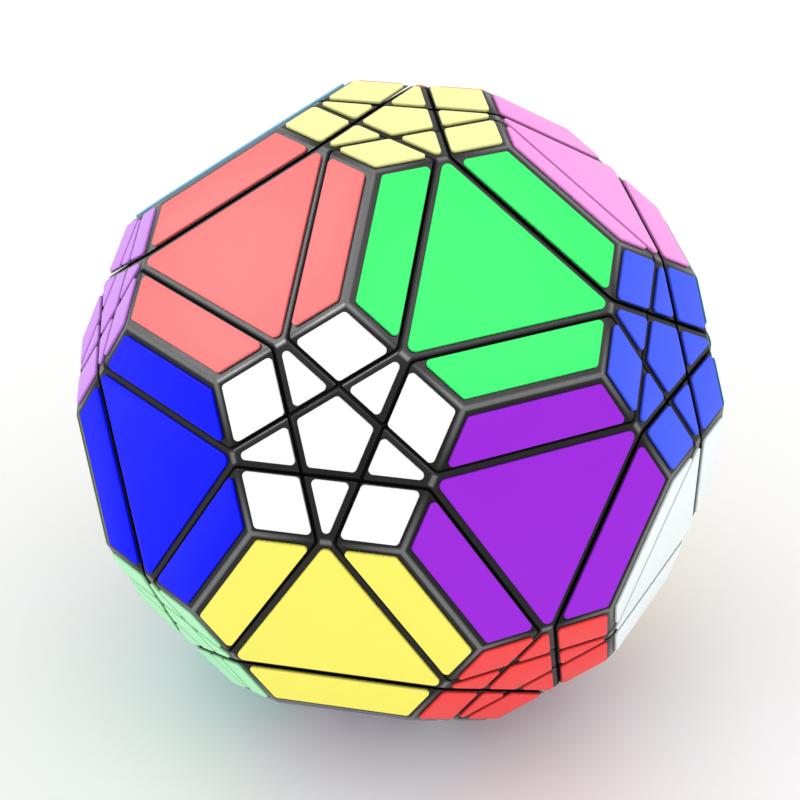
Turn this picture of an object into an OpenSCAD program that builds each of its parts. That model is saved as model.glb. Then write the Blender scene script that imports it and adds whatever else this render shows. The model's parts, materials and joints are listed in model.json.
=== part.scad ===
/* [Body] */
// Edge length of every pentagon and hexagon face
edge = 18.5; // [17.5:0.1:20]
// Depth of a turning layer, from its hexagon face down to its flat cut
layer_depth = 4.75; // [4.6:0.05:4.9]
// Width of the slot between neighbouring pieces, square to the cut
gap = 0.3; // [0.25:0.05:0.45]

/* [Tiles] */
// Thickness of a coloured tile
tile_t = 0.4; // [0.3:0.05:0.6]
// Distance from a ridge between two hexagons to the tile beside it
hexagon_ridge_margin = 1.05; // [0.9:0.05:1.2]
// Distance from a ridge between a hexagon and a pentagon to the hexagon's tile
pentagon_ridge_margin = 0.85; // [0.7:0.05:1]
// Distance from the same ridge to the pentagon's tile
kite_margin = 0.75; // [0.6:0.05:0.9]
// Distance from a cut to the tile on its inner side
inner_margin = 0.95; // [0.8:0.05:1.1]
// Distance from a cut to the tile on the side that turns
outer_margin = 0.35; // [0.35:0.05:0.5]
// Corner radius of a big triangle
triangle_r = 0.85; // [0.8:0.05:1.2]
// Corner radius of every smaller tile
tile_r = 0.55; // [0.4:0.05:0.7]

/* [Core] */
// Outer radius of the hollow core ball
core_r = 22; // [21.5:0.1:22.2]
// Wall of the core ball
core_wall = 2.5; // [2:0.1:3]
// Radius of a screw boss inside the core
boss_r = 2.6; // [2.4:0.1:2.7]
// Distance from the middle of the core to the foot of a boss
boss_foot = 15.5; // [15.5:0.1:16.5]
// Radius of the peg that holds a pentagon piece
peg_r = 1.6; // [1.4:0.1:1.7]

/* [Pieces inside] */
// Running gap between the core and the feet that slide over it
core_gap = 0.3; // [0.2:0.05:0.4]
// Radius of the ball on which the tops of the feet lie
foot_top_r = 26; // [25.5:0.1:26.5]
// Half angle of the wide cone that a turning layer's feet fill
foot_angle = 32; // [31:0.5:32.5]
// Half angle of the narrow cone between the feet and the flat cut
neck_angle = 27; // [26:0.5:28]

/* [Screws and springs] */
// Radius of a screw shank
screw_r = 1.5; // [1.4:0.05:1.6]
// Running clearance of a centre piece round its screw, on the radius
bore_clearance = 0.05; // [0.03:0.01:0.08]
// Radius of a screw head
head_r = 2.9; // [2.8:0.1:3]
// Height of a screw head
head_h = 2; // [1.8:0.1:2.2]
// Height of the spring seat above the middle of the core
seat_z = 29.5; // [29:0.1:30]
// Length of a spring as fitted
spring_l = 6; // [5.5:0.1:6.5]

/* [Hidden] */
$fn = 48;
MOVING = 8;
EDGES = ["a", "b", "c"];
FIXED_CENTRES = 12;

// Angles between the axes of the solid: p pentagon, h hexagon, e edge between two hexagons
p_p = atan(2);
p_h = acos(sqrt((5 + 2 * sqrt(5)) / 15));
p_h_far = acos(sqrt((5 - 2 * sqrt(5)) / 15));
p_e = p_p / 2;
h_h = acos(sqrt(5) / 3);
h_e = h_h / 2;

// Distances from the middle of the solid, and across its faces
golden = (1 + sqrt(5)) / 2;
ridge_mid_r = edge * golden * 3 / 2;
hexagon_apothem = edge * cos(30);
pentagon_apothem = edge / 2 / tan(36);
hexagon_r = sqrt(pow(ridge_mid_r, 2) - pow(hexagon_apothem, 2));
pentagon_r = sqrt(pow(ridge_mid_r, 2) - pow(pentagon_apothem, 2));
cut_r = hexagon_r - layer_depth;
hexagon_cut = (cut_r - hexagon_r * cos(h_h)) / sin(h_h);
pentagon_cut = (cut_r - pentagon_r * cos(p_h)) / sin(p_h);
reach = 2 * pentagon_r;

// Screw, boss and pocket sizes that follow from the ones above
core_inner_r = core_r - core_wall;
thread_clearance = 0.02;
screw_tip = boss_foot + 0.5;
spring_inner_r = screw_r + 0.3;
spring_outer_r = head_r - 0.1;
spring_pocket_r = head_r + 0.4;
pocket_z = seat_z + 3.5;
pocket_r = 6.2;
peg_clearance = 0.05;
boss_root = 0.5;
peg_root = 2;

// How far a hole starts short of the wall it goes through, and how far joined shapes overlap
overrun = 1;
overlap = 3;

// Colours, one for each face in the order of the places below
PLASTIC = [0.14, 0.14, 0.15];
STEEL = [0.72, 0.73, 0.75];
CORE = [0.85, 0.85, 0.83];
PENTAGON_COLOURS = [
    [1, 1, 0.69],
    [1, 1, 1],
    [0.31, 0.41, 1],
    [0.55, 0.95, 0.95],
    [1, 0.6, 0.25],
    [0.87, 0.63, 0.98],
    [1, 0.31, 0.31],
    [0.55, 0.3, 0.12],
    [0.5, 0.5, 0.5],
    [0.1, 0.35, 0.15],
    [0.73, 1, 0.78],
    [0.95, 0.75, 0.1]];
HEXAGON_COLOURS = [
    [0.31, 1, 0.51],
    [1, 0.67, 0.94],
    [1, 0.45, 0.1],
    [0.6, 0.85, 1],
    [1, 0.55, 0.55],
    [0.63, 0.16, 0.88],
    [0.1, 0.5, 0.55],
    [0.65, 0.45, 0.3],
    [0.2, 0.6, 0.2],
    [0.04, 0.16, 1],
    [1, 0.97, 0.43],
    [0.94, 1, 1],
    [0.85, 0.8, 0.6],
    [0.75, 0.1, 0.2],
    [0.4, 0.5, 0.2],
    [0.62, 0.58, 0.66],
    [0.5, 0.05, 0.3],
    [0.95, 0.85, 0.2],
    [0.35, 0.35, 0.4],
    [0.1, 0.7, 0.65]];

// A place is [tilt from +Z, azimuth, spin about its own axis]. The local x axis of a
// hexagon points to a pentagon beside it, that of a pentagon to a hexagon beside it, and
// that of an edge along the ridge.
PENTAGONS = concat(
    [[0, -54, 0]],
    [for (k = [0:4]) [p_p, -90 + 72 * k, 0]],
    [for (k = [0:4]) [180 - p_p, -54 + 72 * k, 180]],
    [[180, 90, 0]]);
HEXAGONS = concat(
    [for (k = [0:4]) [p_h, -54 + 72 * k, 180]],
    [for (k = [0:4]) [p_h_far, -54 + 72 * k, 0]],
    [for (k = [0:4]) [180 - p_h_far, -90 + 72 * k, 180]],
    [for (k = [0:4]) [180 - p_h, -90 + 72 * k, 0]]);
RIDGES = concat(
    [for (k = [0:4]) [p_e, -90 + 72 * k, 0]],
    [for (k = [0:4]) [90 - p_e, -54 + 72 * k, 90]],
    [for (k = [0:9]) [90, -72 + 36 * k, k % 2 == 0 ? p_e : -p_e]],
    [for (k = [0:4]) [90 + p_e, -90 + 72 * k, 90]],
    [for (k = [0:4]) [180 - p_e, -54 + 72 * k, 0]]);

function axis(place) = [
    sin(place[0]) * cos(place[1]),
    sin(place[0]) * sin(place[1]),
    cos(place[0])];

// A direction given in a place's own frame, turned into the frame of the whole part
function turned(place, tilt, azimuth) =
    let (a = azimuth + place[2])
    let (x = sin(tilt) * cos(a), y = sin(tilt) * sin(a), z = cos(tilt))
    let (s = sin(place[0]), c = cos(place[0]))
    let (u = x * c + z * s)
    [u * cos(place[1]) - y * sin(place[1]), u * sin(place[1]) + y * cos(place[1]), z * c - x * s];

// The face whose axis lies along a direction
function face_at(places, direction) =
    [for (k = [0:len(places) - 1]) if (axis(places[k]) * direction > cos(5)) k][0];

// Eight of the hexagon axes are the corners of a cube, so no two of their layers share a
// piece. The cube is the one with an edge from hexagon 0 to hexagon 10.
cube_x = (axis(HEXAGONS[0]) - axis(HEXAGONS[10])) * sqrt(3) / 2;
cube_mid = (axis(HEXAGONS[0]) + axis(HEXAGONS[10])) * sqrt(3 / 8);
cube_side = cross(cube_x, cube_mid);
cube_y = (cube_mid + cube_side) / sqrt(2);
cube_z = (cube_mid - cube_side) / sqrt(2);

function on_cube(v) = max([for (c = [cube_x, cube_y, cube_z]) abs(abs(v * c) - 1 / sqrt(3))]) < 0.01;
function beside(v, w) = v * w > cos(h_e + 5);

moving = [for (k = [0:19]) if (on_cube(axis(HEXAGONS[k]))) k];
fixed = [for (k = [0:19]) if (!on_cube(axis(HEXAGONS[k]))) k];

function ridges_of(k) = [for (r = [0:29]) if (beside(axis(RIDGES[r]), axis(HEXAGONS[k]))) r];

moving_ridges = [for (k = moving) each ridges_of(k)];
fixed_ridges = [for (r = [0:29]) if (len(search(r, moving_ridges)) == 0) r];

// A tile's outline is the area inside straight lines, each [azimuth, distance], with
// every corner rounded by its own radius
function meeting(a, b) =
    let (s = sin(b[0] - a[0]))
    [(a[1] * sin(b[0]) - b[1] * sin(a[0])) / s, (b[1] * cos(a[0]) - a[1] * cos(b[0])) / s];
function corner(a, b, r) =
    let (m = meeting([a[0], a[1] - r], [b[0], b[1] - r]))
    let (sweep = (b[0] - a[0] + 720) % 360)
    [for (k = [0:4]) m + r * [cos(a[0] + sweep * k / 4), sin(a[0] + sweep * k / 4)]];
function outline(lines, radii) =
    let (n = len(lines))
    [for (k = [0:n - 1]) each corner(lines[k], lines[(k + 1) % n], radii[k])];

module at(place) {
    rotate([0, place[0], place[1]])
    rotate([0, 0, place[2]])
    children();
}

module toward(tilt, azimuth) {
    rotate([0, tilt, azimuth])
    children();
}

module tile(r, lines, radii) {
    translate([0, 0, r])
    linear_extrude(tile_t)
    polygon(outline(lines, radii));
}

// The tiles of a hexagon, in its frame
module big_triangle() {
    d = hexagon_cut - inner_margin;
    tile(hexagon_r, [for (a = [60, 180, 300]) [a, d]], [for (k = [0:2]) triangle_r]);
}

module strip() {
    d = hexagon_apothem - pentagon_ridge_margin;
    ridge = hexagon_apothem - hexagon_ridge_margin;
    lines = [[120, d], [180, ridge], [240, d], [360, -hexagon_cut - outer_margin]];
    tile(hexagon_r, lines, [for (k = [0:3]) tile_r]);
}

// The tiles of a pentagon, in its frame
module small_pentagon() {
    d = pentagon_cut - inner_margin;
    tile(pentagon_r, [for (k = [0:4]) [72 * k, d]], [for (k = [0:4]) tile_r]);
}

module small_triangle() {
    d = pentagon_cut - inner_margin;
    lines = [[108, d], [252, d], [360, -pentagon_cut - outer_margin]];
    tile(pentagon_r, lines, [for (k = [0:2]) tile_r]);
}

module kite() {
    d = pentagon_apothem - kite_margin;
    inner = -pentagon_cut - outer_margin;
    lines = [[144, d], [216, d], [324, inner], [396, inner]];
    tile(pentagon_r, lines, [for (k = [0:3]) tile_r]);
}

// Everything on the middle's side of a flat face
module inside(r) {
    translate([-reach, -reach, r - 2 * reach])
    cube(2 * reach);
}

module cone(angle, height, grow) {
    translate([0, 0, -grow / sin(angle)])
    cylinder(h = height, r1 = 0, r2 = height * tan(angle));
}

// All the space that turns with one layer, about +Z, with its walls moved out by grow
module layer_zone(grow) {
    translate([0, 0, cut_r - grow])
    cylinder(r = reach, h = reach);
    cone(neck_angle, cut_r + overlap, grow);
    intersection() {
        cone(foot_angle, foot_top_r + overlap, grow);
        sphere(r = foot_top_r + grow);
    }
}

module centre_body() {
    difference() {
        intersection() {
            inside(hexagon_r);
            toward(p_h, 0) inside(pentagon_r);
            toward(p_h, 120) inside(pentagon_r);
            toward(p_h, 240) inside(pentagon_r);
            layer_zone(-gap / 2);
        }
        for (a = [60, 180, 300])
            toward(h_h, a) layer_zone(gap / 2);
        sphere(r = core_r + core_gap);
        cylinder(r = screw_r + bore_clearance, h = reach);
        translate([0, 0, seat_z])
        cylinder(r = spring_pocket_r, h = reach);
        translate([0, 0, pocket_z])
        cylinder(r = pocket_r, h = reach);
    }
}

module edge_body() {
    difference() {
        intersection() {
            toward(h_e, 90) inside(hexagon_r);
            toward(h_e, 270) inside(hexagon_r);
            toward(p_e, 0) inside(pentagon_r);
            toward(p_e, 180) inside(pentagon_r);
            toward(h_e, 90) layer_zone(-gap / 2);
            toward(h_e, 270) layer_zone(-gap / 2);
        }
        sphere(r = core_r + core_gap);
    }
}

// A pentagon piece stands between the necks of the five layers round it
module pentagon_body() {
    difference() {
        intersection() {
            inside(pentagon_r);
            intersection_for(k = [0:4])
                toward(p_h, 72 * k) inside(cut_r - gap / 2);
            cone(p_h - neck_angle, reach, -gap / 2);
        }
        sphere(r = foot_top_r + gap / 2);
    }
    translate([0, 0, core_inner_r])
    cylinder(r = peg_r, h = foot_top_r + peg_root - core_inner_r);
}

module screw() {
    translate([0, 0, screw_tip])
    cylinder(r = screw_r, h = seat_z + spring_l - screw_tip);
    translate([0, 0, seat_z + spring_l])
    difference() {
        cylinder(r = head_r, h = head_h);
        translate([0, 0, head_h / 2])
        cylinder(r = head_r / 2, h = head_h, $fn = 6);
    }
}

module spring() {
    translate([0, 0, seat_z])
    difference() {
        cylinder(r = spring_outer_r, h = spring_l);
        cylinder(r = spring_inner_r, h = 3 * spring_l, center = true);
    }
}

// Half of the core, with every screw boss and peg hole on its side of the joint
module core_half(hexagons, pentagons, side) {
    difference() {
        union() {
            difference() {
                core_ball(core_r);
                core_ball(core_inner_r);
                mirror([0, 0, side])
                inside(0);
            }
            for (h = hexagons)
                at(HEXAGONS[h])
                translate([0, 0, boss_foot])
                cylinder(r = boss_r, h = core_inner_r + boss_root - boss_foot);
        }
        for (h = hexagons)
            at(HEXAGONS[h])
            translate([0, 0, boss_foot - overrun])
            cylinder(r = screw_r + thread_clearance, h = reach);
        for (p = pentagons)
            at(PENTAGONS[p])
            translate([0, 0, core_inner_r - overrun])
            cylinder(r = peg_r + peg_clearance, h = reach);
    }
}

// The ball is turned so that neither pole lies in a hole
module core_ball(r) {
    rotate([90, 0, 40])
    sphere(r = r);
}

module core_upper_half() {
    color(CORE)
    core_half([0:9], [0:5], 0);
}

module core_lower_half() {
    color(CORE)
    core_half([10:19], [6:11], 1);
}

module screws() {
    color(STEEL)
    for (h = HEXAGONS)
        at(h) screw();
}

module springs() {
    color(STEEL)
    for (h = HEXAGONS)
        at(h) spring();
}

module pentagon_pieces() {
    color(PLASTIC)
    for (p = PENTAGONS)
        at(p) pentagon_body();
}

module centre(h) {
    color(PLASTIC)
    at(HEXAGONS[h]) centre_body();
}

module edge_piece(r) {
    color(PLASTIC)
    at(RIDGES[r]) edge_body();
}

module fixed_edges() {
    for (r = fixed_ridges)
        edge_piece(r);
}

module centre_tiles(h) {
    place = HEXAGONS[h];
    color(HEXAGON_COLOURS[h])
    at(place) big_triangle();
    for (a = [0, 120, 240])
        color(PENTAGON_COLOURS[face_at(PENTAGONS, turned(place, p_h, a))])
        at(place) toward(p_h, a) small_triangle();
}

module edge_tiles(r) {
    place = RIDGES[r];
    for (a = [90, 270])
        color(HEXAGON_COLOURS[face_at(HEXAGONS, turned(place, h_e, a))])
        at(place) toward(h_e, a) strip();
    for (a = [0, 180])
        color(PENTAGON_COLOURS[face_at(PENTAGONS, turned(place, p_e, a))])
        at(place) toward(p_e, a) kite();
}

module pentagon_tile(p) {
    color(PENTAGON_COLOURS[p])
    at(PENTAGONS[p]) small_pentagon();
}

module layer_tiles(h) {
    centre_tiles(h);
    for (r = ridges_of(h))
        edge_tiles(r);
}

module fixed_tiles() {
    for (h = fixed)
        centre_tiles(h);
    for (r = fixed_ridges)
        edge_tiles(r);
    for (p = [0:10])
        pentagon_tile(p);
}

module base_tile() {
    pentagon_tile(11);
}

core_upper_half();
core_lower_half();
screws();
springs();
pentagon_pieces();
for (k = [1:MOVING]) {
    centre(moving[k - 1]);
    for (e = [0:2])
        edge_piece(ridges_of(moving[k - 1])[e]);
    layer_tiles(moving[k - 1]);
}
for (k = [1:FIXED_CENTRES])
    centre(fixed[k - 1]);
fixed_edges();
fixed_tiles();
base_tile();
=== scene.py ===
"""The looks of a ball-shaped twisty puzzle: black pieces with rounded ridges, and coloured tiles."""
import json
import math

import bmesh
import bpy
from mathutils import Matrix, Vector

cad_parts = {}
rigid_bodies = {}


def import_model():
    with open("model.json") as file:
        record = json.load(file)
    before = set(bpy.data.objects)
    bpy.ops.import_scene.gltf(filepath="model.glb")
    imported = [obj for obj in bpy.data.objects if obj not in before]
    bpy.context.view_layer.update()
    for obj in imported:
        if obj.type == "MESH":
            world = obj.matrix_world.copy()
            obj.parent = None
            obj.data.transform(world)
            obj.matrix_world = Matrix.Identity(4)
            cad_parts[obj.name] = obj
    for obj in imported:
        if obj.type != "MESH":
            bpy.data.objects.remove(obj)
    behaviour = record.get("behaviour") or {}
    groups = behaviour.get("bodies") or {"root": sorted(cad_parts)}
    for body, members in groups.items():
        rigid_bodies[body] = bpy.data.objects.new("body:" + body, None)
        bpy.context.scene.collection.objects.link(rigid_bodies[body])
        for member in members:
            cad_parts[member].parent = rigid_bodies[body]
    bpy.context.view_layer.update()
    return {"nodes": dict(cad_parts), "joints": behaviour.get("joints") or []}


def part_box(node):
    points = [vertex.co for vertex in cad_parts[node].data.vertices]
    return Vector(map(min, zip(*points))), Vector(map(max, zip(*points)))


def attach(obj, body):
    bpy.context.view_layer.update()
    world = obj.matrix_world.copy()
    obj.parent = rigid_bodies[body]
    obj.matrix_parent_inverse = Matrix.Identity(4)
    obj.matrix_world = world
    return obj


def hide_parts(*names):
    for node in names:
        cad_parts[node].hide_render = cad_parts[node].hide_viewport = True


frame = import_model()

MM = 0.001

# ---------------------------------------------------------------- sizes, from the frame
TILE_LOW, TILE_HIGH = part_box("base_tile")
TILE_T = TILE_HIGH.z - TILE_LOW.z
PENTAGON_R = -TILE_HIGH.z

GOLDEN = (1 + math.sqrt(5)) / 2
RIDGE_MID_PER_EDGE = 1.5 * GOLDEN
PENTAGON_APOTHEM_PER_EDGE = 0.5 / math.tan(math.radians(36))
EDGE = PENTAGON_R / math.sqrt(RIDGE_MID_PER_EDGE ** 2 - PENTAGON_APOTHEM_PER_EDGE ** 2)
PENTAGON_APOTHEM = PENTAGON_APOTHEM_PER_EDGE * EDGE
HEXAGON_APOTHEM = EDGE * math.cos(math.radians(30))
HEXAGON_R = math.sqrt((RIDGE_MID_PER_EDGE * EDGE) ** 2 - HEXAGON_APOTHEM ** 2)

# Cuts and tile margins, as the CAD has them, and slots that are narrow between wide rounded lips
LAYER_DEPTH = 4.75 * MM
GAP = 0.22 * MM
HEXAGON_RIDGE_MARGIN = 1.05 * MM
PENTAGON_RIDGE_MARGIN = 0.85 * MM
KITE_MARGIN = 0.75 * MM
INNER_MARGIN = 0.95 * MM
OUTER_MARGIN = 0.35 * MM
TRIANGLE_CORNER = 0.85 * MM
TILE_CORNER = 0.55 * MM
CUT_R = HEXAGON_R - LAYER_DEPTH

# A turning layer's flat underside, and the half angle of the cone that its neck fills below that
SHELL_R = CUT_R + GAP / 2
NECK_ANGLE = 27

# The round pocket under each big tile, for the screw's head
POCKET_R = 6.2 * MM
POCKET_TOP = HEXAGON_R - 0.6 * MM

# How deep one part of a moulded piece is sunk into the next
SINK = 0.02 * MM

# Angles between the axes: P pentagon, H hexagon, E the ridge between two hexagons
P_P = math.degrees(math.atan(2))
P_H = math.degrees(math.acos(math.sqrt((5 + 2 * math.sqrt(5)) / 15)))
P_H_FAR = math.degrees(math.acos(math.sqrt((5 - 2 * math.sqrt(5)) / 15)))
P_E = P_P / 2
H_H = math.degrees(math.acos(math.sqrt(5) / 3))
H_E = H_H / 2


def across(face_r, tilt):
    """How far from a face's middle the cut of a layer tilted by that angle crosses it."""
    return (CUT_R - face_r * math.cos(math.radians(tilt))) / math.sin(math.radians(tilt))


HEXAGON_CUT = across(HEXAGON_R, H_H)
PENTAGON_CUT = across(PENTAGON_R, P_H)

# Points closer than these are one, in a CAD node's mesh and in a new shape
MERGED = 1e-6
TOUCHING = 1e-7
# Neighbouring faces that differ by less than this become one flat face, in degrees
FLAT = 0.2

# Rounding of the moulded pieces and of the tiles
RIDGE_BEVEL = 0.46 * MM
RIDGE_STEPS = 6
INNER_LIP = 0.34 * MM
OUTER_LIP = 0.09 * MM
LIP_STEPS = 4
TILE_LIP = 0.1 * MM
TILE_LIP_STEPS = 3
CORNER_STEPS = 7
ROUND_STEPS = 32
POCKET_STEPS = 48
NECK_STEPS = 72

# A face of the ball is wider than this, and a rounded ridge is narrower
WIDE_FACE = 60 * MM * MM
# Moulded edges sharper than this stay crisp, in degrees
CREASE = 25
# Lips that lie closer than this to the wall's direction take the wall's painted shade, in degrees
WALL_LEAN = 18
# How far a rounded edge leans from its face where its painted highlight starts and is full, in degrees
HIGHLIGHT_START = 3
HIGHLIGHT_FULL = 15
# How strong the painted highlight is on a slot's lip, against a ridge's
LIP_HIGHLIGHT = 0.07

# Screws and springs, as the CAD has them, with a thread and a wound wire
SCREW_R = 1.5 * MM
SCREW_TIP = 16 * MM
HEAD_R = 2.9 * MM
HEAD_H = 2 * MM
CHAMFER = 0.3 * MM
SOCKET_SIDES = 6
SEAT_Z = 29.5 * MM
SPRING_L = 6 * MM
SPRING_OUTER_R = HEAD_R - 0.1 * MM
WIRE_R = 0.45 * MM
WIRE_STEPS = 10
OPEN_COILS = 2.5
COIL_STEPS = 20
THREAD_PITCH = 0.8 * MM
THREAD_DEPTH = 0.18 * MM
THREAD_END = 23 * MM

# ---------------------------------------------------------------- places on the ball
# [tilt from +Z, azimuth, spin], in degrees, in the order of the faces' colours
PENTAGONS = [(0, -54, 0)]
PENTAGONS += [(P_P, -90 + 72 * k, 0) for k in range(5)]
PENTAGONS += [(180 - P_P, -54 + 72 * k, 180) for k in range(5)]
PENTAGONS += [(180, 90, 0)]
HEXAGONS = [(P_H, -54 + 72 * k, 180) for k in range(5)]
HEXAGONS += [(P_H_FAR, -54 + 72 * k, 0) for k in range(5)]
HEXAGONS += [(180 - P_H_FAR, -90 + 72 * k, 180) for k in range(5)]
HEXAGONS += [(180 - P_H, -90 + 72 * k, 0) for k in range(5)]
RIDGES = [(P_E, -90 + 72 * k, 0) for k in range(5)]
RIDGES += [(90 - P_E, -54 + 72 * k, 90) for k in range(5)]
RIDGES += [(90, -72 + 36 * k, P_E if k % 2 == 0 else -P_E) for k in range(10)]
RIDGES += [(90 + P_E, -90 + 72 * k, 90) for k in range(5)]
RIDGES += [(180 - P_E, -54 + 72 * k, 0) for k in range(5)]


def turn(tilt, azimuth, spin=0):
    """The rotation that carries +Z to a tilt and an azimuth, after a spin about +Z."""
    about_z = Matrix.Rotation(math.radians(azimuth), 4, "Z")
    down = Matrix.Rotation(math.radians(tilt), 4, "Y")
    return about_z @ down @ Matrix.Rotation(math.radians(spin), 4, "Z")


def axis(rotation):
    return rotation.to_3x3() @ Vector((0, 0, 1))


def face_normal(tilt, azimuth, spin=0):
    return axis(turn(tilt, azimuth, spin))


def nearest(places, direction):
    """Which of the places lies nearest to a direction."""
    return max(range(len(places)), key=lambda k: face_normal(*places[k]).dot(direction))


# ---------------------------------------------------------------- colours
PENTAGON_COLOURS = [
    ("cream", (1.0, 1.0, 0.42)),
    ("white", (0.98, 0.98, 0.98)),
    ("cornflower", (0.065, 0.125, 1.0)),
    ("aqua", (0.26, 0.88, 0.88)),
    ("apricot", (1.0, 0.32, 0.05)),
    ("lavender", (0.7, 0.3, 0.95)),
    ("red", (1.0, 0.068, 0.068)),
    ("brown", (0.26, 0.07, 0.015)),
    ("grey", (0.21, 0.21, 0.21)),
    ("bottle_green", (0.01, 0.1, 0.02)),
    ("mint", (0.48, 1.0, 0.57)),
    ("gold", (0.9, 0.52, 0.01))]
HEXAGON_COLOURS = [
    ("green", (0.055, 1.0, 0.2)),
    ("pink", (1.0, 0.36, 0.85)),
    ("orange", (1.0, 0.17, 0.01)),
    ("light_blue", (0.32, 0.7, 1.0)),
    ("salmon", (1.0, 0.21, 0.21)),
    ("purple", (0.35, 0.02, 0.75)),
    ("teal", (0.01, 0.21, 0.26)),
    ("tan", (0.38, 0.17, 0.07)),
    ("grass", (0.03, 0.32, 0.03)),
    ("blue", (0.0, 0.006, 1.0)),
    ("yellow", (1.0, 0.93, 0.15)),
    ("ice", (0.93, 1.0, 1.0)),
    ("sand", (0.69, 0.6, 0.32)),
    ("crimson", (0.52, 0.01, 0.03)),
    ("olive", (0.13, 0.21, 0.03)),
    ("lilac_grey", (0.34, 0.3, 0.39)),
    ("maroon", (0.21, 0.003, 0.07)),
    ("mustard", (0.89, 0.69, 0.03)),
    ("slate", (0.1, 0.1, 0.13)),
    ("turquoise", (0.01, 0.45, 0.38))]

# Which body each layer of pieces rides on, by its joint's axis
LAYER_BODIES = {nearest(HEXAGONS, Vector(j["axis"])): j["child"] for j in frame["joints"]}
CORE_BODY = frame["joints"][0]["parent"]
FIRST_LAYER = min(LAYER_BODIES)


def hexagons_of(ridge):
    """The two hexagons that meet at a ridge."""
    return [nearest(HEXAGONS, axis(turn(*ridge) @ turn(H_E, side))) for side in (90, 270)]


def pentagons_of(ridge):
    """The two pentagons at the ends of a ridge."""
    return [nearest(PENTAGONS, axis(turn(*ridge) @ turn(P_E, side))) for side in (0, 180)]


def ridge_body(ridge):
    for h in hexagons_of(ridge):
        if h in LAYER_BODIES:
            return LAYER_BODIES[h]
    return CORE_BODY


# ---------------------------------------------------------------- finishes
class Value:
    """A socket in a material's nodes, ready for sums."""

    def __init__(self, finish, socket):
        self.finish = finish
        self.socket = socket

    def sum(self, operation, first, second):
        node = self.finish.node("ShaderNodeMath", {"operation": operation}, {0: first, 1: second})
        return Value(self.finish, node.outputs[0])

    def __add__(self, other):
        return self.sum("ADD", self, other)

    def __radd__(self, other):
        return self.sum("ADD", other, self)

    def __sub__(self, other):
        return self.sum("SUBTRACT", self, other)

    def __mul__(self, other):
        return self.sum("MULTIPLY", self, other)

    def __rmul__(self, other):
        return self.sum("MULTIPLY", other, self)


class Finish:
    """A material, with its Principled shader and its texture coordinates."""

    def __init__(self, name):
        self.material = bpy.data.materials.new(name)
        self.material.use_nodes = True
        self.tree = self.material.node_tree
        self.shader = self.tree.nodes["Principled BSDF"]
        self.place = self.node("ShaderNodeTexCoord").outputs["Object"]

    def node(self, kind, settings=None, inputs=None):
        node = self.tree.nodes.new(kind)
        for key, value in (settings or {}).items():
            setattr(node, key, value)
        self.fill(node, inputs or {})
        return node

    def fill(self, node, inputs):
        for key, value in inputs.items():
            if isinstance(value, Value):
                value = value.socket
            if isinstance(value, bpy.types.NodeSocket):
                self.tree.links.new(value, node.inputs[key])
            else:
                node.inputs[key].default_value = value

    def noise(self, scale, detail, roughness=0.5):
        inputs = {"Vector": self.place, "Scale": scale, "Detail": detail, "Roughness": roughness}
        return Value(self, self.node("ShaderNodeTexNoise", None, inputs).outputs["Fac"])

    def mixed(self, factor, first, second):
        """A colour between two others."""
        node = self.node("ShaderNodeMix", {"data_type": "RGBA"}, {0: factor, 6: first, 7: second})
        return node.outputs[2]

    def bump(self, height, distance, strength):
        inputs = {"Height": height, "Distance": distance, "Strength": strength}
        return self.node("ShaderNodeBump", None, inputs).outputs["Normal"]

    def shade(self, **inputs):
        self.fill(self.shader, {key.replace("_", " "): value for key, value in inputs.items()})
        return self.material


def tint(colour, share):
    """An opaque colour made darker, or lighter towards white where share is over 1."""
    if share <= 1:
        return (*(c * share for c in colour), 1)
    return (*(c + (1 - c) * (share - 1) for c in colour), 1)


def moulded_plastic(name, colour, roughness, specular, highlight_colour=None):
    """Moulded plastic: a fine spark-eroded grain, faint flow marks, and rounded edges made smoother as
    if polished by handling, with a painted highlight that makes their colour lighter.
    """
    finish = Finish(name)
    flow = finish.noise(scale=90, detail=3)
    grain = finish.noise(scale=5200, detail=2, roughness=0.6)
    wear_and_highlight = finish.noise(scale=420, detail=4, roughness=0.65)
    base = finish.mixed(flow, tint(colour, 0.88), tint(colour, 1))
    rough = roughness - 0.06 + 0.12 * wear_and_highlight
    if highlight_colour:
        # A painted highlight: the rounded edges' colour is made lighter, towards the highlight colour,
        # where the gloss would catch the light
        marked = finish.node("ShaderNodeAttribute", {"attribute_name": "painted_highlight"})
        edge = Value(finish, marked.outputs["Fac"]) * (0.8 + 0.4 * wear_and_highlight)
        base = finish.mixed(edge, base, tint(highlight_colour, 1))
        rough = rough - 0.06 * edge
    bump = finish.bump(grain * 0.7 + wear_and_highlight * 0.3, distance=0.012 * MM, strength=0.6)
    return finish.shade(
        Base_Color=base,
        Roughness=rough,
        Specular_IOR_Level=specular,
        Normal=bump)


def tile_plastic(name, colour):
    """A coloured tile: even colour, a smooth face with faint waves, and fine marks in its gloss."""
    finish = Finish(name)
    cloud = finish.noise(scale=70, detail=2)
    rubbed = finish.noise(scale=900, detail=5, roughness=0.7)
    wave = finish.noise(scale=260, detail=1)
    base = finish.mixed(cloud, tint(colour, 0.97), tint(colour, 1.01))
    bump = finish.bump(wave * 0.8 + rubbed * 0.2, distance=0.006 * MM, strength=0.5)
    return finish.shade(
        Base_Color=base,
        Roughness=0.3 + 0.14 * rubbed,
        Specular_IOR_Level=0.05,
        Normal=bump)


def tile_side_with_painted_shade(name, colour):
    """The cut side of a tile, with painted shade: its colour made deeper and darker, as the shade on the
    side.
    """
    finish = Finish(name)
    depth = finish.noise(scale=1500, detail=2)
    shade_colour = [c ** 2 for c in colour]
    base = finish.mixed(depth, tint(shade_colour, 0.14), tint(shade_colour, 0.2))
    return finish.shade(Base_Color=base, Roughness=0.55, Specular_IOR_Level=0.2)


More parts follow.
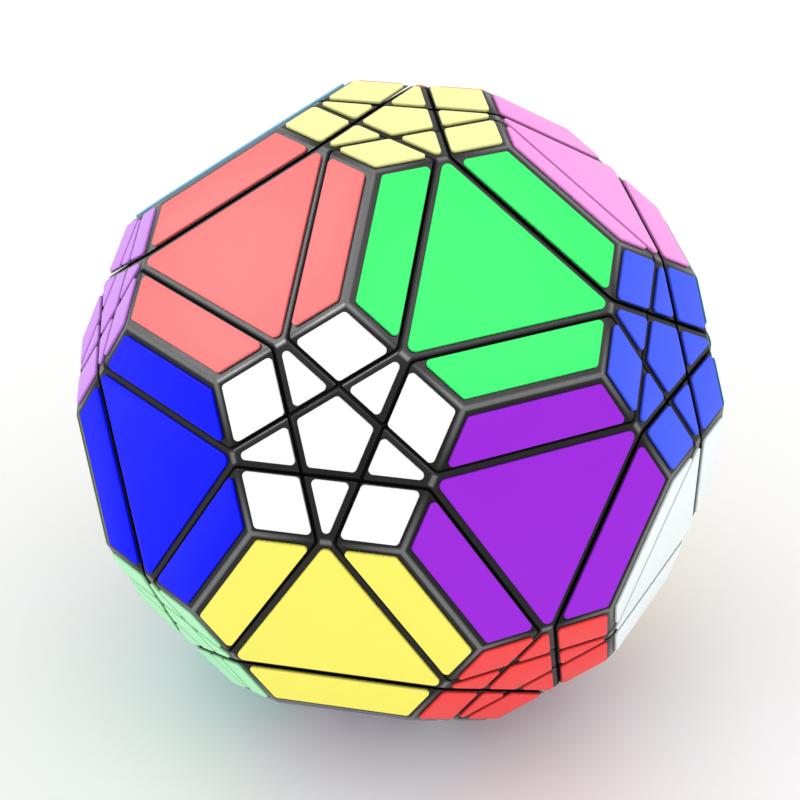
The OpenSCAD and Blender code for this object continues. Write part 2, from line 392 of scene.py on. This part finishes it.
def plated_steel(name, colour, roughness):
    """Bright zinc-plated steel with a fine drawn grain."""
    finish = Finish(name)
    drawn = finish.noise(scale=2600, detail=4, roughness=0.6)
    base = finish.mixed(drawn, tint(colour, 0.85), tint(colour, 1))
    bump = finish.bump(drawn, distance=0.004 * MM, strength=0.5)
    rough = roughness - 0.08 + 0.16 * drawn
    return finish.shade(Base_Color=base, Roughness=rough, Metallic=1, Normal=bump)


# The lighter colour of the painted highlight on the black pieces' rounded edges
PAINTED_HIGHLIGHT_GREY = (0.175, 0.175, 0.177)
BLACK = moulded_plastic("black_piece_plastic", (0.004, 0.004, 0.0042), 0.34, 0.16, PAINTED_HIGHLIGHT_GREY)
# The slot walls: rougher, with their colour and gloss made darker still, which is painted shade that
# makes the slots look black
SHADED_WALL = moulded_plastic("black_sliding_walls_painted_shade", (0.0015, 0.0015, 0.0016), 0.6, 0.04)
CORE = moulded_plastic("core_plastic", (0.72, 0.71, 0.67), 0.5, 0.5)
SCREW_STEEL = plated_steel("screw_steel", (0.68, 0.68, 0.7), 0.35)
SPRING_STEEL = plated_steel("spring_steel", (0.5, 0.5, 0.52), 0.28)
TILES = {}
for colour_name, colour in PENTAGON_COLOURS + HEXAGON_COLOURS:
    TILES[colour_name] = (
        tile_plastic("tile_" + colour_name, colour),
        tile_side_with_painted_shade("tile_side_with_painted_shade_" + colour_name, colour))


# ---------------------------------------------------------------- shaping tools
def keep(bm, normal, distance, outer=False, ring=False):
    """Cuts a closed solid with a plane, keeps the inner or the outer side, and closes the cut.

    A cut with a hole in it, as through a neck round its bore, is closed as a ring."""
    result = bmesh.ops.bisect_plane(
        bm,
        geom=bm.verts[:] + bm.edges[:] + bm.faces[:],
        dist=TOUCHING,
        plane_co=normal * distance,
        plane_no=normal,
        clear_outer=not outer,
        clear_inner=outer)
    rim = [g for g in result["geom_cut"] if isinstance(g, bmesh.types.BMEdge)]
    if ring:
        bmesh.ops.triangle_fill(bm, use_beauty=True, use_dissolve=False, edges=rim)
        return None
    return bmesh.ops.contextual_create(bm, geom=rim)["faces"][0]


def round_edges(bm, edges, offset, steps):
    """Rounds edges, and gives back the faces that this made or changed."""
    before = set(bm.faces)
    bmesh.ops.bevel(
        bm,
        geom=edges,
        offset=offset,
        offset_type="OFFSET",
        segments=steps,
        profile=0.5,
        affect="EDGES",
        clamp_overlap=True,
        material=-1)
    return set(bm.faces) - before


def shown(bm, name, materials):
    """Puts a bmesh in the scene as an object of its own."""
    mesh = bpy.data.meshes.new(name)
    bm.to_mesh(mesh)
    bm.free()
    for material in materials:
        mesh.materials.append(material)
    piece = bpy.data.objects.new(name, mesh)
    bpy.context.scene.collection.objects.link(piece)
    return piece


def finished(bm, name, body, materials, nodes):
    """Makes a piece of a bmesh, which rides on a body and stands for some nodes."""
    bmesh.ops.recalc_face_normals(bm, faces=bm.faces)
    piece = shown(bm, name, materials)
    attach(piece, body)
    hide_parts(*nodes)


def placed(shape, place):
    """A copy of a shape at one of the places on the ball."""
    bm = shape.copy()
    bmesh.ops.transform(bm, matrix=turn(*place), verts=bm.verts)
    return bm


def rounded_ball():
    """The whole ball in one, with the ridges between its faces rounded."""
    bm = bmesh.new()
    bmesh.ops.create_cube(bm, size=4 * PENTAGON_R)
    for place in PENTAGONS:
        keep(bm, face_normal(*place), PENTAGON_R)
    for place in HEXAGONS:
        keep(bm, face_normal(*place), HEXAGON_R)
    round_edges(bm, bm.edges[:], RIDGE_BEVEL, RIDGE_STEPS)
    for face in bm.faces:
        face.smooth = face.calc_area() < WIDE_FACE
    return bm


BALL = rounded_ball()


def finish_lip(bm, faces, facings):
    """Smooths a slot's rounded lip. Its part that leans towards a wall takes the wall's painted shade.
    """
    bm.normal_update()
    for face in faces:
        face.smooth = True
        lean = min(math.degrees(face.normal.angle(facing)) for facing in facings)
        face.material_index = 1 if lean < WALL_LEAN else 0


def mark_painted_highlight(bm, place, planes):
    """Marks how strong each rounded edge's painted highlight is: most in its middle, and less on a
    slot's lip.
    """
    painted_highlight = bm.verts.layers.float.new("painted_highlight")
    back = turn(*place).to_3x3().inverted()
    normals = [back @ face_normal(*face) for face in PENTAGONS + HEXAGONS]
    bm.normal_update()
    for vert in bm.verts:
        lean = math.degrees(math.acos(min(1, max(abs(vert.normal.dot(n)) for n in normals))))
        share = min(1, max(0, (lean - HIGHLIGHT_START) / (HIGHLIGHT_FULL - HIGHLIGHT_START)))
        near_slot = any(abs(vert.co.dot(n) - d) < INNER_LIP / 2 for n, d in planes)
        vert[painted_highlight] = share * (LIP_HIGHLIGHT if near_slot else 1)


def shell(place, cuts):
    """A piece's outer shell in its own frame. cuts are (tilt, azimuth, outer side kept, lip)."""
    bm = BALL.copy()
    bmesh.ops.transform(bm, matrix=turn(*place).inverted(), verts=bm.verts)
    planes = []
    facings = []
    for tilt, azimuth, outer, _ in cuts:
        normal = face_normal(tilt, azimuth)
        distance = CUT_R + (GAP / 2 if outer else -GAP / 2)
        wall = keep(bm, normal, distance, outer)
        wall.smooth = False
        # The cut face takes the second material, with the slot's painted shade
        wall.material_index = 1
        planes.append((normal, distance))
        facings.append(-normal if outer else normal)
    lips = {}
    for (normal, distance), (*_, lip) in zip(planes, cuts):
        for face in bm.faces:
            if all(abs(v.co.dot(normal) - distance) < MERGED for v in face.verts):
                lips.setdefault(lip, []).append(face)
    walls = [f for group in lips.values() for f in group]
    for lip in sorted(lips, reverse=True):
        rim = [
            e for f in lips[lip] if f.is_valid for e in f.edges
            if sum(g in walls for g in e.link_faces) == 1]
        finish_lip(bm, round_edges(bm, rim, lip, LIP_STEPS), facings)
    mark_painted_highlight(bm, place, planes)
    return bm


def copied(bm, extra, matrix):
    """Adds a turned copy of a bmesh to another."""
    mesh = bpy.data.meshes.new("copied")
    extra.to_mesh(mesh)
    mesh.transform(matrix)
    bm.from_mesh(mesh)
    bpy.data.meshes.remove(mesh)


def from_cad(node, place):
    """A CAD node's solid, merged, in its own frame."""
    bm = bmesh.new()
    bm.from_mesh(frame["nodes"][node].data)
    bmesh.ops.remove_doubles(bm, verts=bm.verts, dist=MERGED)
    bmesh.ops.transform(bm, matrix=turn(*place).inverted(), verts=bm.verts)
    for face in bm.faces:
        # All faces take the second material, with the slots' painted shade
        face.material_index = 1
        face.smooth = True
    for edge in bm.edges:
        edge.smooth = math.degrees(edge.calc_face_angle(0)) < CREASE
    return bm


def opened(bm, face, mouth_r, sides, depth):
    """Sinks a pocket with straight walls into a flat face that is square to Z."""
    level = face.calc_center_median().z
    rim = list(face.edges)
    bmesh.ops.delete(bm, geom=[face], context="FACES_ONLY")
    mouth = ring_of(bm, mouth_r, sides, Matrix.Translation((0, 0, level)))
    bmesh.ops.triangle_fill(bm, use_beauty=True, use_dissolve=False, edges=rim + mouth)
    wall = bmesh.ops.extrude_edge_only(bm, edges=mouth)["geom"]
    sunk = [g for g in wall if isinstance(g, bmesh.types.BMVert)]
    bmesh.ops.translate(bm, verts=sunk, vec=(0, 0, depth))
    edges = [g for g in wall if isinstance(g, bmesh.types.BMEdge)]
    bmesh.ops.contextual_create(bm, geom=[e for e in edges if all(v in sunk for v in e.verts)])


def ring_of(bm, radius, sides, matrix):
    """The edges of a new circle, which has no face."""
    circle = bmesh.ops.create_circle(
        bm, cap_ends=False, segments=sides, radius=radius, matrix=matrix)
    return list({e for v in circle["verts"] for e in v.link_edges})


def lathed(profile, steps=ROUND_STEPS):
    """A solid turned about +Z from its half section, which starts and ends on the axis."""
    bm = bmesh.new()
    points = [bm.verts.new((r, 0, z)) for r, z in profile]
    edges = [bm.edges.new(pair) for pair in zip(points, points[1:])]
    bmesh.ops.spin(
        bm, geom=points + edges, cent=(0, 0, 0), axis=(0, 0, 1), angle=2 * math.pi,
        steps=steps, use_merge=True)
    bmesh.ops.remove_doubles(bm, verts=bm.verts, dist=TOUCHING)
    return bm


def without(bm, cutter):
    """A closed solid with another one taken away from it."""
    blank, tool = [shown(shape, "blank", [BLACK, SHADED_WALL]) for shape in (bm, cutter)]
    cut = blank.modifiers.new("cut", "BOOLEAN")
    cut.operation = "DIFFERENCE"
    cut.solver = "EXACT"
    cut.object = tool
    result = bmesh.new()
    result.from_object(blank, bpy.context.evaluated_depsgraph_get())
    for piece in (blank, tool):
        bpy.data.meshes.remove(piece.data)
    return result


# ---------------------------------------------------------------- the three kinds of moulded piece
def centre_piece():
    """A centre: its shell under one big and three small tiles, over the neck that turns on the screw."""
    cuts = [(0, 0, True, OUTER_LIP)] + [(H_H, a, False, INNER_LIP) for a in (60, 180, 300)]
    bm = shell(HEXAGONS[0], cuts)
    underside = min(bm.faces, key=lambda f: f.normal.z * f.calc_area())
    opened(bm, underside, POCKET_R, POCKET_STEPS, POCKET_TOP - SHELL_R)
    bm = cleared(bm)
    neck = from_cad(LAYER_BODIES[FIRST_LAYER] + "_centre", HEXAGONS[FIRST_LAYER])
    keep(neck, Vector((0, 0, 1)), SHELL_R + SINK, ring=True)
    copied(bm, neck, Matrix.Identity(4))
    return bm


def cleared(bm):
    """Cuts away a centre's rims where the necks of the three layers beside it turn under them."""
    bottom = CUT_R / 2
    top = 1.1 * CUT_R
    slope = math.tan(math.radians(NECK_ANGLE))
    tip = GAP / 2 / math.sin(math.radians(NECK_ANGLE))
    bottom_r, top_r = (bottom + tip) * slope, (top + tip) * slope
    neck = lathed([(0, bottom), (bottom_r, bottom), (top_r, top), (0, top)], NECK_STEPS)
    for face in neck.faces:
        # The cleared faces take the second material, with the slots' painted shade
        face.material_index = 1
        face.smooth = True
    necks = bmesh.new()
    for azimuth in (60, 180, 300):
        copied(necks, neck, turn(H_H, azimuth))
    bmesh.ops.recalc_face_normals(necks, faces=necks.faces)
    return without(bm, necks)


def ridge_piece():
    """An edge piece: a roof over a ridge, on the stalk and foot that hold it in the ball."""
    bm = shell(RIDGES[0], [(H_E, a, True, OUTER_LIP) for a in (90, 270)])
    first = next(place for place in RIDGES if ridge_body(place) == LAYER_BODIES[FIRST_LAYER])
    near = face_normal(H_E, 90)
    far = face_normal(H_E, 270)
    foot = from_cad(LAYER_BODIES[FIRST_LAYER] + "_edge_a", first)
    shoulder = foot.copy()
    keep(foot, near, SHELL_R + SINK, ring=True)
    keep(shoulder, near, SHELL_R, outer=True, ring=True)
    keep(shoulder, far, SHELL_R + SINK, ring=True)
    copied(bm, foot, Matrix.Identity(4))
    copied(bm, shoulder, Matrix.Identity(4))
    return bm


def pentagon_piece():
    """A pentagon piece: a five-sided cap on a round taper, with its peg."""
    bm = from_cad("pentagon_pieces", PENTAGONS[0])
    others = [v for v in bm.verts if v.co.angle((0, 0, 1)) > math.radians(P_E)]
    bmesh.ops.delete(bm, geom=others, context="VERTS")
    bmesh.ops.dissolve_limit(bm, angle_limit=math.radians(FLAT), verts=bm.verts, edges=bm.edges)
    top = max(bm.faces, key=lambda f: f.calc_center_median().z)
    top.material_index = 0
    top.smooth = False
    lip = round_edges(bm, list(top.edges), INNER_LIP, LIP_STEPS)
    finish_lip(bm, lip, [face_normal(P_H, 72 * k) for k in range(5)])
    # A faint painted highlight on the lip, as on the other pieces' lips
    painted_highlight = bm.verts.layers.float.new("painted_highlight")
    for vert in bm.verts:
        if PENTAGON_R - INNER_LIP < vert.co.z < PENTAGON_R - SINK:
            vert[painted_highlight] = LIP_HIGHLIGHT
    return bm


# ---------------------------------------------------------------- screws and springs
def coiled(bm, ring, stretches):
    """Sweeps a closed ring of edges about +Z along stretches of helix, each (pitch, turns)."""
    end = bmesh.ops.contextual_create(bm, geom=ring)["faces"]
    for pitch, turns in stretches:
        steps = round(turns * COIL_STEPS)
        swept = bmesh.ops.spin(
            bm, geom=end, cent=(0, 0, 0), axis=(0, 0, 1), angle=2 * math.pi * turns,
            dvec=(0, 0, pitch * turns / steps), steps=steps, use_duplicate=False)
        end = swept["geom_last"]
    for face in bm.faces:
        face.smooth = len(face.verts) == 4


def screw_shape():
    """A cap screw with a rolled thread, a chamfered head and a six-sided socket."""
    head_z = SEAT_Z + SPRING_L
    top_z = head_z + HEAD_H
    root_r = SCREW_R - THREAD_DEPTH
    bm = lathed([
        (0, SCREW_TIP), (root_r - CHAMFER, SCREW_TIP), (root_r, SCREW_TIP + CHAMFER),
        (root_r, THREAD_END), (SCREW_R, THREAD_END + THREAD_DEPTH), (SCREW_R, head_z),
        (HEAD_R - CHAMFER / 2, head_z), (HEAD_R, head_z + CHAMFER / 2),
        (HEAD_R, top_z - CHAMFER), (HEAD_R - CHAMFER, top_z), (0, top_z)])
    bmesh.ops.dissolve_limit(bm, angle_limit=math.radians(FLAT), verts=bm.verts, edges=bm.edges)
    top = max(bm.faces, key=lambda f: f.calc_center_median().z)
    opened(bm, top, HEAD_R / 2, SOCKET_SIDES, -HEAD_H / 2)
    copied(bm, thread_shape(root_r), Matrix.Identity(4))
    return bm


def thread_shape(root_r):
    """The thread's ridge, sunk a little into the screw's shank at its root."""
    bm = bmesh.new()
    half = 0.45 * THREAD_PITCH
    section = ((root_r - SINK, -half), (SCREW_R, 0), (root_r - SINK, half))
    points = [bm.verts.new((r, 0, SCREW_TIP + 2 * half + z)) for r, z in section]
    ring = [bm.edges.new((points[k], points[k - 1])) for k in range(3)]
    turns = (THREAD_END - SCREW_TIP - 3 * half) / THREAD_PITCH
    coiled(bm, ring, [(THREAD_PITCH, turns)])
    bmesh.ops.recalc_face_normals(bm, faces=bm.faces)
    return bm


def spring_shape():
    """A compression spring of round wire, with a closed coil at each end."""
    bm = bmesh.new()
    start = Matrix.Translation((SPRING_OUTER_R - WIRE_R, 0, SEAT_Z + WIRE_R))
    ring = ring_of(bm, WIRE_R, WIRE_STEPS, start @ Matrix.Rotation(math.pi / 2, 4, "X"))
    closed = 2.1 * WIRE_R
    rise = SPRING_L - 2 * WIRE_R - 2 * closed
    coiled(bm, ring, [(closed, 1), (rise / OPEN_COILS, OPEN_COILS), (closed, 1)])
    return bm


def build_inside():
    for name, node, shape, steel in (
            ("cap_screws", "screws", screw_shape(), SCREW_STEEL),
            ("wound_springs", "springs", spring_shape(), SPRING_STEEL)):
        bm = bmesh.new()
        for place in HEXAGONS:
            copied(bm, shape, turn(*place))
        finished(bm, name, CORE_BODY, [steel], [node])
    for node in ("core_upper_half", "core_lower_half"):
        for slot in frame["nodes"][node].material_slots:
            slot.material = CORE


# ---------------------------------------------------------------- tiles
def meeting(first, second):
    """Where two straight lines cross, each given as (azimuth, distance)."""
    a, b = math.radians(first[0]), math.radians(second[0])
    s = math.sin(b - a)
    x = (first[1] * math.sin(b) - second[1] * math.sin(a)) / s
    y = (second[1] * math.cos(a) - first[1] * math.cos(b)) / s
    return Vector((x, y))


def outline(lines, radius):
    """The area inside straight lines, with rounded corners."""
    points = []
    for k, (azimuth, distance) in enumerate(lines):
        following = lines[(k + 1) % len(lines)]
        middle = meeting((azimuth, distance - radius), (following[0], following[1] - radius))
        sweep = (following[0] - azimuth) % 360
        for step in range(CORNER_STEPS + 1):
            a = math.radians(azimuth + sweep * step / CORNER_STEPS)
            points.append(middle + radius * Vector((math.cos(a), math.sin(a))))
    return points


def tile(face_r, lines, radius=TILE_CORNER):
    """A raised tile with its upper rim rounded and its side in the second material."""
    bm = bmesh.new()
    base = bm.faces.new([bm.verts.new((p.x, p.y, face_r)) for p in outline(lines, radius)])
    raised = bmesh.ops.extrude_face_region(bm, geom=[base])
    verts = [g for g in raised["geom"] if isinstance(g, bmesh.types.BMVert)]
    bmesh.ops.translate(bm, verts=verts, vec=(0, 0, TILE_T))
    bm.normal_update()
    for face in bm.faces:
        if abs(face.normal.z) < 0.5:
            # The side takes the second material, whose darker colour is painted shade
            face.material_index = 1
            face.smooth = True
    top = max(bm.faces, key=lambda f: f.calc_center_median().z)
    for face in round_edges(bm, list(top.edges), TILE_LIP, TILE_LIP_STEPS):
        face.smooth = True
        face.material_index = 0
    return bm


def big_triangle():
    d = HEXAGON_CUT - INNER_MARGIN
    return tile(HEXAGON_R, [(a, d) for a in (60, 180, 300)], TRIANGLE_CORNER)


def strip():
    d = HEXAGON_APOTHEM - PENTAGON_RIDGE_MARGIN
    ridge = HEXAGON_APOTHEM - HEXAGON_RIDGE_MARGIN
    return tile(HEXAGON_R, [(120, d), (180, ridge), (240, d), (360, -HEXAGON_CUT - OUTER_MARGIN)])


def small_pentagon():
    d = PENTAGON_CUT - INNER_MARGIN
    return tile(PENTAGON_R, [(72 * k, d) for k in range(5)])


def small_triangle():
    d = PENTAGON_CUT - INNER_MARGIN
    return tile(PENTAGON_R, [(108, d), (252, d), (360, -PENTAGON_CUT - OUTER_MARGIN)])


def kite():
    d = PENTAGON_APOTHEM - KITE_MARGIN
    inner = -PENTAGON_CUT - OUTER_MARGIN
    return tile(PENTAGON_R, [(144, d), (216, d), (324, inner), (396, inner)])


class TileSet:
    """Tiles collected by body and face colour, so that each group becomes one piece."""

    def __init__(self):
        self.groups = {}

    def add(self, shape, place, colour_name, body):
        copied(self.groups.setdefault((body, colour_name), bmesh.new()), shape, place)

    def build(self):
        for (body, colour_name), bm in sorted(self.groups.items(), key=lambda group: group[0]):
            nodes = ["fixed_tiles", "base_tile"] if body == CORE_BODY else [body + "_tiles"]
            finished(bm, f"tiles_{colour_name}_{body}", body, TILES[colour_name], nodes)


# ---------------------------------------------------------------- the object
def build_centres():
    shape = centre_piece()
    fixed = [k for k in range(len(HEXAGONS)) if k not in LAYER_BODIES]
    for k, place in enumerate(HEXAGONS):
        body = LAYER_BODIES.get(k, CORE_BODY)
        node = body + "_centre" if k in LAYER_BODIES else f"fixed_centre_{fixed.index(k) + 1}"
        name = "centre_" + HEXAGON_COLOURS[k][0]
        finished(placed(shape, place), name, body, [BLACK, SHADED_WALL], [node])


def build_edges():
    shape = ridge_piece()
    letters = {body: iter("abc") for body in LAYER_BODIES.values()}
    for place in RIDGES:
        body = ridge_body(place)
        node = "fixed_edges" if body == CORE_BODY else f"{body}_edge_{next(letters[body])}"
        first, second = [HEXAGON_COLOURS[h][0] for h in hexagons_of(place)]
        name = f"edge_{first}_{second}"
        finished(placed(shape, place), name, body, [BLACK, SHADED_WALL], [node])


def build_pentagons():
    shape = pentagon_piece()
    for (colour_name, _), place in zip(PENTAGON_COLOURS, PENTAGONS):
        name = "pentagon_" + colour_name
        finished(placed(shape, place), name, CORE_BODY, [BLACK, SHADED_WALL], ["pentagon_pieces"])


def build_tiles():
    tiles = TileSet()
    big = big_triangle()
    small = small_triangle()
    middle = small_pentagon()
    long = strip()
    corner = kite()
    for k, place in enumerate(HEXAGONS):
        body = LAYER_BODIES.get(k, CORE_BODY)
        tiles.add(big, turn(*place), HEXAGON_COLOURS[k][0], body)
        for side in (0, 120, 240):
            onto = turn(*place) @ turn(P_H, side)
            tiles.add(small, onto, PENTAGON_COLOURS[nearest(PENTAGONS, axis(onto))][0], body)
    for place in RIDGES:
        body = ridge_body(place)
        for side, h in zip((90, 270), hexagons_of(place)):
            tiles.add(long, turn(*place) @ turn(H_E, side), HEXAGON_COLOURS[h][0], body)
        for side, p in zip((0, 180), pentagons_of(place)):
            tiles.add(corner, turn(*place) @ turn(P_E, side), PENTAGON_COLOURS[p][0], body)
    for (colour_name, _), place in zip(PENTAGON_COLOURS, PENTAGONS):
        tiles.add(middle, turn(*place), colour_name, CORE_BODY)
    tiles.build()


# ---------------------------------------------------------------- floor, light and camera
FLOOR_HALF = 4
LIGHT_DISTANCE = 0.9
WORLD_STRENGTH = 1.04

# Soft lights that show only in the gloss: name, azimuth, elevation, width in metres, power in watts
LIGHTS = [
    ("left", 174, 44, 0.44, 9),
    ("right", -5, 62, 0.4, 3.6),
    ("upper_left", -135, 43, 0.3, 13),
    ("upper_front", -72, 50, 0.3, 4)]

# The camera's direction from the ball's middle, its distance, and how far it stands off that line
CAMERA_AZIMUTH = -78.41
CAMERA_ELEVATION = 31.88
CAMERA_ROLL = -0.1
CAMERA_DISTANCE = 242.3 * MM
CAMERA_OFFSET = Vector((-0.04, 0.69)) * MM
CAMERA_LENS = 76.68
CAMERA_SENSOR = 36


def add_floor():
    bm = bmesh.new()
    bmesh.ops.create_grid(bm, x_segments=1, y_segments=1, size=FLOOR_HALF)
    bmesh.ops.translate(bm, verts=bm.verts, vec=(0, 0, TILE_LOW.z))
    paper = Finish("floor_paper")
    paper.shade(Base_Color=(1, 1, 1, 1), Roughness=0.9, Specular_IOR_Level=0.05)
    shown(bm, "floor", [paper.material])


def add_light(name, azimuth, elevation, width, power):
    light = bpy.data.lights.new(name, "AREA")
    light.shape = "DISK"
    light.size = width
    light.energy = power
    lamp = bpy.data.objects.new(name, light)
    lamp.location = LIGHT_DISTANCE * face_normal(90 - elevation, azimuth)
    lamp.rotation_euler = lamp.location.to_track_quat("Z", "Y").to_euler()
    lamp.visible_diffuse = False
    bpy.context.scene.collection.objects.link(lamp)


def add_studio():
    world = bpy.data.worlds.new("studio")
    world.use_nodes = True
    background = world.node_tree.nodes["Background"]
    background.inputs["Color"].default_value = (1, 1, 1, 1)
    background.inputs["Strength"].default_value = WORLD_STRENGTH
    bpy.context.scene.world = world
    bpy.context.scene.view_settings.view_transform = "Standard"
    for light in LIGHTS:
        add_light(*light)


def add_camera():
    data = bpy.data.cameras.new("camera")
    data.sensor_width = CAMERA_SENSOR
    data.lens = CAMERA_LENS
    data.clip_start = 10 * MM
    toward = face_normal(90 - CAMERA_ELEVATION, CAMERA_AZIMUTH)
    right = Vector((0, 0, 1)).cross(toward).normalized()
    up = toward.cross(right)
    view = Matrix((right, up, toward)).transposed().to_4x4()
    stand = CAMERA_DISTANCE * toward + CAMERA_OFFSET.x * right + CAMERA_OFFSET.y * up
    eye = bpy.data.objects.new("camera", data)
    roll = Matrix.Rotation(math.radians(CAMERA_ROLL), 4, "Z")
    eye.matrix_world = Matrix.Translation(stand) @ view @ roll
    bpy.context.scene.collection.objects.link(eye)
    bpy.context.scene.camera = eye


build_centres()
build_edges()
build_pentagons()
build_tiles()
build_inside()
add_floor()
add_studio()
add_camera()
